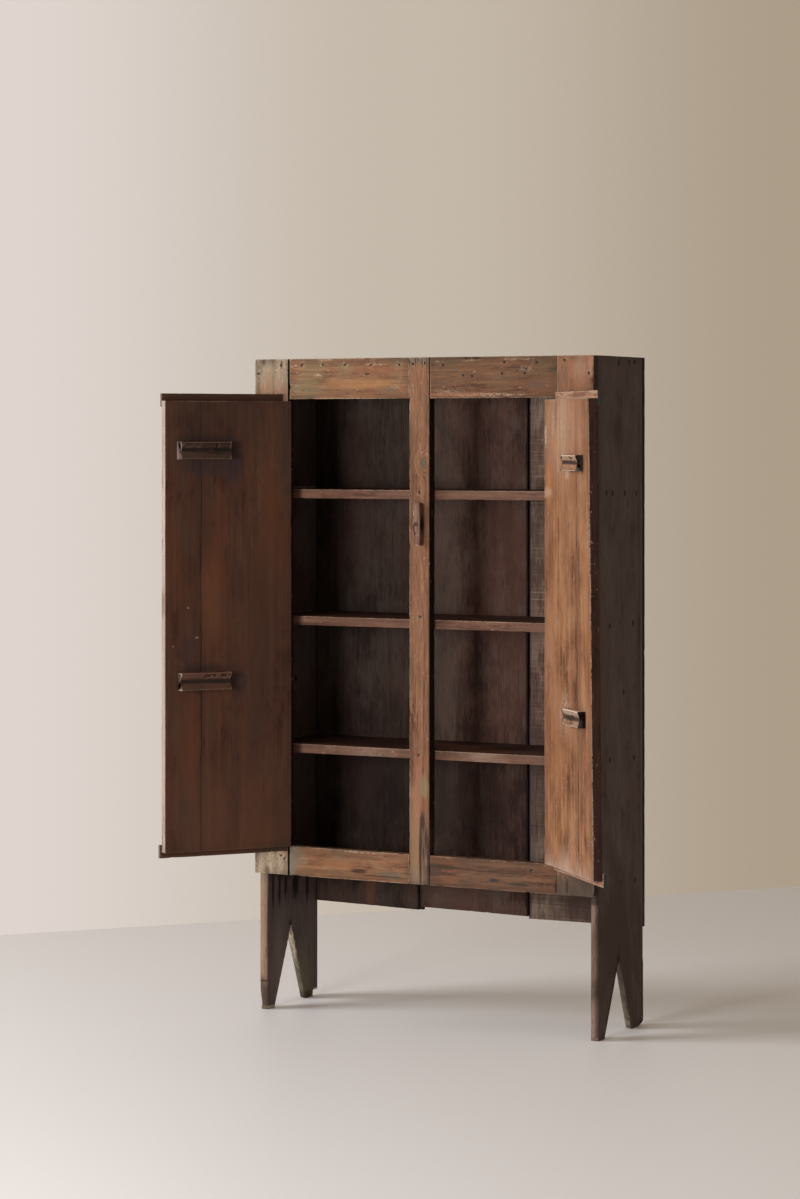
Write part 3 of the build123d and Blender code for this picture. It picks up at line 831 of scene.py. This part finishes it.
# ------------------------------------------------------------------ sides
# One wide board a side, from the top to the floor, nailed to the ends of the shelves.
# A slanting V sawn out of its lower end leaves it two feet.
dark_side = dict(
    tones=tones_of(0.101, 0.072, 0.068, 0.5, 1.45), patch=(0.098, 0.084, 0.073), patch_share=0.45,
    warm=(0.106, 0.063, 0.056), warm_share=0.4, streaks=0.55, mottle=1.6, fibres=0.6, rings=0.3,
    rubbed_tone=(0.2, 0.14, 0.1), grime=0.4, chips=0.1, rough=0.66, rubbed=0.3, nail_reach=0.0062,
    flaked=0.0,
    nails=((157, 1762), (223, 1766), (258, 1767), (80, 1422), (118, 1421), (196, 1420), (270, 1419),
           (100, 1074), (246, 1075), (186, 896), (100, 724), (252, 716), (169, 395), (258, 392),
           (155, 223)),
)
dripped = (0.01, 0.007, 0.005)
side_looks = {
    "left_side": dict(
        stained_face=-1, edge_tone=(-1, (0.35, 0.22, 0.15)), cut_tone=(0.88, 0.74, 0.57),
        stains_and_painted_shading=((165, 376, 70, 300, 0.95, dripped), (30, 30, 110, 26, 0.95, (0.085, 0.058, 0.042)),
                (30, 79, 5, 14, 0.9, soot_brown), (30, 350, 90, 18, 0.5, (0.3, 0.215, 0.16)),
                (100, 120, 280, 60, 0.6, (0.19, 0.135, 0.105)), (62, 330, 110, 14, 1.0, dripped),
                (98, 325, 130, 13, 1.0, dripped), (130, 335, 90, 18, 1.0, dripped),
                (185, 332, 80, 34, 1.0, dripped), (250, 325, 110, 20, 0.9, dripped),
                (226, 40, 230, 110, 1.0, (0.14, 0.12, 0.083)), (250, 8, 30, 60, 0.9, (0.06, 0.04, 0.03))),
    ),
    "right_side": dict(
        edge_tone=(1, (0.26, 0.17, 0.127)), edge_top=352, cut_tone=(0.3, 0.255, 0.19),
        stains_and_painted_shading=((150, 240, 500, 320, 0.85, (0.06, 0.038, 0.028)), (175, 560, 60, 10, 0.5, soot_brown),
                (212, 1395, 40, 9, 0.8, (0.03, 0.018, 0.014)),
                (205, 1350, 60, 7, 0.7, (0.03, 0.018, 0.014)),
                (33, 1060, 1430, 5, 1.0, (0.012, 0.007, 0.005)),
                (284, 1060, 1500, 5, 0.75, (0.02, 0.01, 0.008)),
                (300, 1060, 1500, 12, 0.5, (0.13, 0.09, 0.075))),
    ),
}
# The left front foot is worn round below a step: how high up, from its front and from its outside.
worn_foot_h = 0.078
worn_from_front = 0.005
worn_from_outside = 0.008


def sawn_copy(node, board):
    """A copy of a node's mesh on its board's axes, merged, and without the edges that cross flat faces."""
    bm = bmesh.new()
    bm.from_mesh(nodes[node].data)
    bmesh.ops.remove_doubles(bm, verts=bm.verts, dist=1e-6)
    bmesh.ops.dissolve_limit(bm, angle_limit=radians(0.5), verts=bm.verts, edges=bm.edges)
    bm.transform(board.to_board)
    return bm


def cut_in_cells(bm, board, steps):
    """Cuts the faces into cells of about these lengths along and across the grain, which wear can move."""
    half = board.size / 2
    for axis, step in enumerate(steps):
        cuts = int(board.size[axis] / step)
        normal = Vector((axis == 0, axis == 1, 0))
        for i in range(1, cuts):
            where = normal * (-half[axis] + board.size[axis] * i / cuts)
            bmesh.ops.bisect_plane(bm, geom=bm.verts[:] + bm.edges[:] + bm.faces[:], plane_co=where,
                                   plane_no=normal, dist=1e-6)


for side_name, sign in {"left_side": -1, "right_side": 1}.items():
    low, high = corners(side_name)
    board = Board(low, high, upwards, (sign, 0, 0))
    bm = sawn_copy(side_name, board)
    half = board.size / 2
    outline = [e for e in bm.edges if all(v.co.z > half.z - 1e-5 for v in e.verts)]
    eased(bm, outline, offset=0.0018, segments=3)
    cut_in_cells(bm, board, (0.012, 0.01))
    wear(bm, board, 83 + sign, hollow=0.0008, dents=0.0006, dent_depth=0.0008)
    if sign < 0:
        for v in bm.verts:
            rise = v.co.x + half.x
            if rise < worn_foot_h and v.co.y < 0.006 - half.y:
                share = (1 - rise / worn_foot_h) ** 2
                v.co.y += worn_from_front * share
                v.co.z -= (0.5 + v.co.z / board.size.z) * worn_from_outside * share
    look = {**dark_side, **side_looks[side_name]}
    wooden(side_name, bm, board, "carcase", 83 + sign, look)
    nail_heads(side_name + "_nails", board, dark_side["nails"], "carcase")


# ------------------------------------------------------------------ top, bottom and shelves
# Two boards close the carcase and three shelves run through both bays, all housed in the sides.
# Their front edges show in the openings and are redder than their faces.
shelf_tones = dict(
    tones=tones_of(0.046, 0.02, 0.014), patch=(0.04, 0.024, 0.017), patch_share=0.3, rings=0.3, rough=0.6,
    rubbed_tone=(0.34, 0.22, 0.16), edge_tone=(-1, (0.165, 0.078, 0.05)), mottle=1.9, streaks=1.5,
    chips=0.6, rubbed=0.9,
)
shelf_marks = {
    "shelf_upper": ((-310, 1418, 60, 54, 0.8, soot_brown), (-120, 1418, 120, 54, 0.5, (0.1, 0.06, 0.045)),
                    (330, 1418, 120, 54, 0.7, soot_brown), (130, 1418, 90, 54, 0.5, (0.11, 0.055, 0.04))),
    "shelf_middle": ((-250, 1071, 110, 54, 0.6, (0.09, 0.06, 0.06)),
                     (-80, 1071, 60, 54, 0.6, (0.09, 0.05, 0.045)),
                     (120, 1071, 70, 54, 0.7, (0.09, 0.05, 0.045)), (300, 1071, 160, 54, 0.5, soot_brown)),
    "shelf_lower": ((-200, 722, 500, 58, 0.85, (0.29, 0.2, 0.148)),
                    (200, 722, 500, 58, 0.8, (0.28, 0.196, 0.144)), (60, 722, 60, 54, 0.6, soot_brown)),
}
shelf_names = ("top_board", "bottom_board", "shelf_upper", "shelf_middle", "shelf_lower")
for number, shelf_name in enumerate(shelf_names):
    low, high = corners(shelf_name)
    board = Board(low, high, sideways_right, upwards)
    bm = squared(board, arris=0.0015, cell=(0.016, 0.016, 0.008))
    wear(bm, board, 101 + number, hollow=0.0006, dents=0.001, dent_depth=0.003)
    look = {**shelf_tones, "stains_and_painted_shading": shelf_marks.get(shelf_name, ())}
    wooden(shelf_name, bm, board, "carcase", 101 + 7 * number, look)


# ------------------------------------------------------------------ back boards
# Three upright boards, half lapped over one another and nailed on behind.
# Their lower ends are roughly sawn and hang down under the bottom board.
# Painted shade: the back boards darken towards the bottom of the bays, where the insides lie in deeper shade.
painted_low_shade = (0.012, 0.006, 0.005)
joint_shade = (0.005, 0.0035, 0.003)
back_looks = {
    "back_board_left": dict(
        seed=131, seams=(-1, 1), seam_w=0.008, tones=tones_of(0.04, 0.025, 0.02, 0.5, 1.5),
        patch=(0.044, 0.036, 0.029), warm=(0.055, 0.025, 0.018),
        stains_and_painted_shading=((-300, 600, 500, 420, 0.5, painted_low_shade), (-318, 320, 130, 40, 0.8, (0.105, 0.045, 0.028)),
                (-365, 340, 90, 40, 0.8, (0.02, 0.011, 0.009)),
                (-260, 320, 130, 40, 0.6, (0.026, 0.014, 0.011)),
                (-190, 320, 130, 60, 0.5, (0.075, 0.037, 0.026)), (-167, 1000, 2400, 9, 1.0, joint_shade)),
    ),
    "back_board_middle": dict(
        seed=139, seams=(-1, 1), seam_w=0.008, tones=tones_of(0.074, 0.036, 0.027, 0.5, 1.6),
        patch=(0.078, 0.06, 0.048), patch_share=0.5,
        stains_and_painted_shading=((169, 1000, 2400, 10, 1.0, joint_shade),
                (-100, 1000, 1700, 130, 0.35, (0.085, 0.07, 0.056)),
                # The paler, redder patch 110 mm right of the middle is a painted pool of the light that falls
                # into the right bay.
                (110, 1200, 600, 110, 0.4, (0.115, 0.052, 0.036)), (-10, 560, 420, 420, 0.5, painted_low_shade),
                (-40, 330, 120, 260, 0.6, (0.09, 0.05, 0.037)),
                (80, 330, 60, 70, 0.5, (0.075, 0.06, 0.045))),
    ),
    "back_board_right": dict(
        seed=149, tones=tones_of(0.18, 0.12, 0.091, 0.5, 1.5), patch=(0.12, 0.095, 0.066), saw_marks=0.8,
        seams=(1,), seam_w=0.006, edge_tone=(-1, (0.02, 0.009, 0.006)),
        # The dark patch at 640 mm on the right board is painted shade, darkening its lower part like the
        # others.
        stains_and_painted_shading=((175, 1000, 2400, 6, 0.9, joint_shade), (230, 640, 460, 260, 0.6, (0.06, 0.038, 0.03)),
                (230, 1300, 300, 90, 0.5, (0.075, 0.06, 0.04)),
                (400, 320, 170, 420, 0.85, (0.06, 0.036, 0.028))),
    ),
}
old_back = dict(
    patch=(0.072, 0.052, 0.04), patch_share=0.35, warm=(0.095, 0.04, 0.029), warm_share=0.45, rings=0.2,
    chips=0.03, grime=0.3, rough=0.75, streak_waves=7.0, streaks=0.9, fibres=1.4, mottle=2.4, rubbed=0.1,
    pits=0.8, relief=1.0,
)
# A row of nails holds each back board to every shelf and to the top and bottom boards.
nail_rows = [(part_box(shelf)[0].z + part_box(shelf)[1].z) * 500 for shelf in shelf_names]
back_nail_steps = (-120, -10, 125)
for back_name, look in back_looks.items():
    low, high = corners(back_name)
    board = Board(low, high, upwards, to_front)
    bm = sawn_copy(back_name, board)
    eased(bm, bm.edges[:], offset=0.0015, segments=2)
    cut_in_cells(bm, board, (0.014, 0.012))
    wear(bm, board, look["seed"], hollow=0.0008, dents=0.001, dent_depth=0.003)
    wooden(back_name, bm, board, "carcase", look["seed"], {**old_back, **look})
    middle_x = (board.frame.translation.x - cupboard_middle) * 1000
    places = [(middle_x + step, row) for row in nail_rows for step in back_nail_steps]
    nail_heads(back_name + "_nails", board, places, "carcase", behind=True)


# ------------------------------------------------------------------ doors
# Each door is a wide and a narrow plank, tongued together, with a strip nailed across its outside at the
# top and bottom, and two short cleats across the planks' joint inside.
door_looks = {
    "left": dict(
        tones=tones_of(0.073, 0.03, 0.018, 0.5, 1.5), back_tones=tones_of(0.22, 0.115, 0.063),
        patch=(0.042, 0.026, 0.018), patch_share=0.6, warm=(0.1, 0.035, 0.017), warm_share=0.6, stripes=0.5,
        stripe_tones=((0.047, 0.029, 0.021), (0.11, 0.041, 0.02)), streaks=0.6, fibres=0.6, mottle=2.0,
        rings=0.3, grime=0.4, chips=0.05, pits=0.2, checks=0.2, rubbed=0.15, rubbed_tone=(0.3, 0.21, 0.16),
        seam_w=0.0042,
    ),
    "right": dict(
        tones=tones_of(0.215, 0.096, 0.046), back_tones=tones_of(0.2, 0.105, 0.06),
        patch=(0.24, 0.155, 0.095), patch_share=0.3, streak_waves=2.8, warm_share=0.3, stripes=0.25,
        stripe_tones=((0.29, 0.18, 0.11), (0.27, 0.115, 0.045)), mottle=2.1, streaks=1.1, rings=0.5,
        grime=0.25, chips=0.4, rubbed=0.4, rubbed_tone=(0.53, 0.43, 0.34),
    ),
}
violet = (0.034, 0.022, 0.024)
door_marks = {
    "left": dict(
        scuffs_and_highlights=((-124, 1032, 9, 16, 2.5), (-57, 1010, 6, 7, 2.5), (-101, 1113, 10, 8, 2.0),
                (-150, 1664, 7, 240, 0.9), (-330, 1664, 7, 90, 0.7)),
        stains_and_painted_shading=((-220, 1650, 360, 440, 0.45, (0.04, 0.024, 0.018)),
                (-300, 1000, 900, 200, 0.4, (0.05, 0.026, 0.018)),
                (-120, 1180, 500, 90, 0.4, (0.06, 0.026, 0.015)),
                (-200, 560, 300, 420, 0.4, (0.1, 0.047, 0.03)),
                # The violet patches next to the cleats, at 1490 to 1560 mm and 905 to 1000 mm, are painted
                # shade of the cleats; the short violet dash at 707 mm is a real mark.
                (-165, 1129, 240, 60, 0.55, (0.135, 0.052, 0.024)), (-238, 1500, 130, 60, 0.65, violet),
                (-150, 1560, 40, 180, 0.45, violet), (-160, 1490, 60, 180, 0.55, violet),
                (-250, 905, 90, 50, 0.5, violet), (-140, 950, 30, 180, 0.5, violet),
                (-100, 1000, 110, 50, 0.5, violet), (-245, 707, 24, 5, 0.9, violet)),
    ),
    "right": dict(
        scuffs_and_highlights=((250, 1590, 200, 90, 0.7), (290, 1560, 170, 22, 1.0), (215, 1480, 70, 90, 0.7),
                (390, 1575, 80, 34, 1.3), (330, 1600, 90, 12, 1.0), (160, 1590, 120, 10, 0.8),
                (240, 860, 150, 150, 0.5), (55, 1330, 220, 24, 0.5)),
        stains_and_painted_shading=((220, 405, 170, 600, 0.8, (0.42, 0.29, 0.225)),
                (240, 1590, 260, 330, 0.5, (0.34, 0.205, 0.13)),
                (60, 1100, 900, 60, 0.4, (0.26, 0.105, 0.042)),
                (120, 900, 700, 40, 0.5, (0.12, 0.065, 0.04)),
                (340, 1250, 300, 50, 0.4, (0.14, 0.06, 0.032)),
                (250, 1250, 300, 60, 0.4, (0.3, 0.15, 0.08)),
                (365, 1450, 130, 44, 0.6, (0.36, 0.145, 0.052)),
                (380, 1425, 28, 90, 0.5, (0.42, 0.27, 0.185)), (198, 1344, 30, 8, 0.8, (0.09, 0.06, 0.045)),
                (300, 1620, 120, 14, 0.6, (0.13, 0.095, 0.06)), (115, 490, 60, 4, 1.0, soot_brown)),
    ),
}
edge_tones = {"left": (0.42, 0.34, 0.285), "right": (0.037, 0.0148, 0.0112)}
strip_looks = {
    "left": dict(tones=tones_of(0.062, 0.029, 0.018, 0.5, 1.5), end_tone=(0.2, 0.14, 0.105)),
    "right": dict(tones=tones_of(0.44, 0.25, 0.168), end_tone=(0.042, 0.046, 0.04)),
}
# Each cleat's look gives the colour of a pale band along its upper face, which is a painted highlight.
cleat_looks = {
    "left_door_cleat_upper": dict(
        tones=tones_of(0.052, 0.029, 0.022), end_tone=(0.4, 0.3, 0.26), end_rim=(0.5, 0.36, 0.31),
        painted_highlight=(0.125, 0.075, 0.058), rubbed=0.7, rubbed_tone=(0.16, 0.1, 0.075), end_way=1,
    ),
    "left_door_cleat_lower": dict(
        tones=tones_of(0.115, 0.056, 0.04), end_tone=(0.26, 0.14, 0.085), end_rim=(0.55, 0.42, 0.31),
        painted_highlight=(0.2, 0.1, 0.075), rubbed=0.7, rubbed_tone=(0.18, 0.11, 0.085), end_way=1, end_framed=True,
    ),
    "right_door_cleat_upper": dict(
        tones=tones_of(0.285, 0.142, 0.083), end_tone=(0.115, 0.098, 0.08), painted_highlight=(0.62, 0.42, 0.32),
        rubbed=0.9, mottle=1.6,
    ),
    "right_door_cleat_lower": dict(
        tones=tones_of(0.32, 0.182, 0.116), end_tone=(0.06, 0.056, 0.056), painted_highlight=(0.64, 0.46, 0.36),
        rubbed=0.9,
    ),
}
door_twist = {"left": 0.0, "right": radians(2.1)}
strip_nail_steps = (-140, -20, 110)
inside = (0, 1, 0)
for number, joint in enumerate(j for j in frame["joints"] if j["child"].endswith("door")):
    door = joint["child"]
    side = door.split("_")[0]
    pin = Vector(joint["pos_m"])
    closing = Matrix.Rotation(radians(joint["range_deg"][0]), 4, Vector(joint["axis"]))
    hung = Matrix.Translation(pin) @ closing.inverted() @ Matrix.Translation(-pin)
    free = 1 if side == "left" else -1  # the way from the hinge to the free edge, door shut
    wide_low, wide_high = corners(f"{door}_wide_plank", hung)
    low, high = corners(f"{door}_narrow_plank", hung)
    if free > 0:
        low.x = wide_high.x
    else:
        high.x = wide_low.x
    twist = Twist(hung, pin, free, wide_high.z, wide_high.z - wide_low.z, door_twist[side])
    seed = 160 + 31 * number
    for plank, plank_low, plank_high in (("wide_plank", wide_low, wide_high), ("narrow_plank", low, high)):
        board = Board(plank_low, plank_high, upwards, inside, hung, twist)
        look = {**door_looks[side], **door_marks[side], "stained_face": 1}
        free_way = board.to_board.to_3x3() @ twist.reach_way
        way = 1 if free_way.y > 0 else -1
        if plank == "narrow_plank":
            look.update(edge_tone=(way, edge_tones[side]), edge_clean=True)
            seed += 5
        else:
            look["seams"] = (way,)
        name = f"{door}_{plank}"
        bm = squared(board, arris=0.0016, cell=(0.009, 0.008, 0.007))
        wear(bm, board, seed, hollow=0.0006, dents=0.0012, dent_depth=0.003)
        wooden(name, bm, board, door, seed, look)
    for strip in ("top_strip", "bottom_strip"):
        name = f"{door}_{strip}"
        seed += 3
        board = Board(*corners(name, hung), sideways_right, inside, hung, twist)
        bm = squared(board, arris=0.0013, cell=(0.008, 0.007, 0.005))
        wear(bm, board, seed, hollow=0.0004, dents=0.001, dent_depth=0.003)
        look = {**door_looks[side], **strip_looks[side]}
        wooden(name, bm, board, door, seed, look)
        shut = hung.inverted() @ board.frame.translation
        middle_x = (shut.x - cupboard_middle) * 1000
        places = [(middle_x + step, shut.z * 1000) for step in strip_nail_steps]
        nail_heads(name + "_nails", board, places, door, behind=True)
    for cleat in ("cleat_upper", "cleat_lower"):
        name = f"{door}_{cleat}"
        seed += 3
        board = Board(*corners(name, hung), sideways_right, inside, hung, twist)
        bm = sawn_copy(name, board)
        eased(bm, bm.edges[:], offset=0.0008, segments=2)
        run = [e for e in bm.edges if abs((e.verts[0].co - e.verts[1].co).x) > 0.02]
        bmesh.ops.subdivide_edges(bm, edges=run, cuts=30, use_grid_fill=True)
        wear(bm, board, seed, hollow=0.0003, dents=0.0006, dent_depth=0.001)
        shut = hung.inverted() @ board.frame.translation
        middle_x = (shut.x - cupboard_middle) * 1000
        height = shut.z * 1000
        look = {**door_looks[side], "streaks": 0.4, "warm_share": 0.2, "stripes": 0.0, **cleat_looks[name]}
        painted_highlight = look.pop("painted_highlight")
        # A painted highlight along the cleat's upper face, a dark line of painted shade along its groove, and
        # two dark holes.
        look["stains_and_painted_shading"] = ((middle_x, height + 17, 500, 20, 0.75, painted_highlight),
                          (middle_x, height, 500, 13, 0.85, (0.022, 0.016, 0.014)),
                          (middle_x - 12, height + 3, 24, 12, 0.9, soot_brown),
                          (middle_x + 24, height + 2, 20, 10, 0.9, soot_brown))
        wooden(name, bm, board, door, seed, look)


# ------------------------------------------------------------------ hinges
# Butt hinges of rusted iron with loose pins, and the nail that the turn button turns on.
# These keep the forms of their own nodes.
for name in ("left_hinge_frame_leaves", "left_hinge_door_leaves", "left_hinge_pins",
             "right_hinge_frame_leaves", "right_hinge_door_leaves", "right_hinge_pins", "turn_button_nail"):
    node = nodes[name]
    if node.material_slots:
        node.material_slots[0].material = rusted_iron
    else:
        node.data.materials.append(rusted_iron)


# ------------------------------------------------------------------ turn button
# A whittled stick that turns on a nail in the centre stile and holds both doors shut.
# It thins towards both ends, and hands have rubbed it bare; along its left edge a painted highlight lies over
# the rubbing, and its right edge is painted shade.
low, high = corners("turn_button")
board = Board(low, high, upwards, to_front)
bm = squared(board, arris=0.004, cell=(0.006, 0.006, 0.006))
half = board.size / 2
end_taper = 0.2
foot_cut = 1.3  # how steeply the lowest quarter is cut away on one side
for v in bm.verts:
    v.co.y *= 1 - end_taper * abs(v.co.x) / half.x
    if v.co.y > 0:
        v.co.y *= 1 - foot_cut * max(0.0, -v.co.x / half.x - 0.5)
wear(bm, board, 301, hollow=0.0012, dents=0.0025, dent_depth=0.004)
# The near-black right edge is painted shade, and the pale scuffs along its left side are rubbed wear with a
# painted highlight on them.
button_look = dict(
    tones=tones_of(0.21, 0.115, 0.088, 0.35, 1.8), rings=0.4, rubbed_tone=(0.56, 0.42, 0.35),
    patch_share=0.2, rubbed=0.9, mottle=1.5, edge_tone=(-1, (0.012, 0.007, 0.008)),
    scuffs_and_highlights=((-5, 1368, 50, 9, 1.0), (-6, 1325, 60, 7, 0.9)),
    stains_and_painted_shading=((-5, 1328, 36, 7, 1.0, soot_brown), (-1, 1312, 12, 8, 1.0, soot_brown),
            (6, 1345, 60, 6, 0.5, soot_brown)),
)
wooden("turn_button", bm, board, "turn_button", 301, button_look)
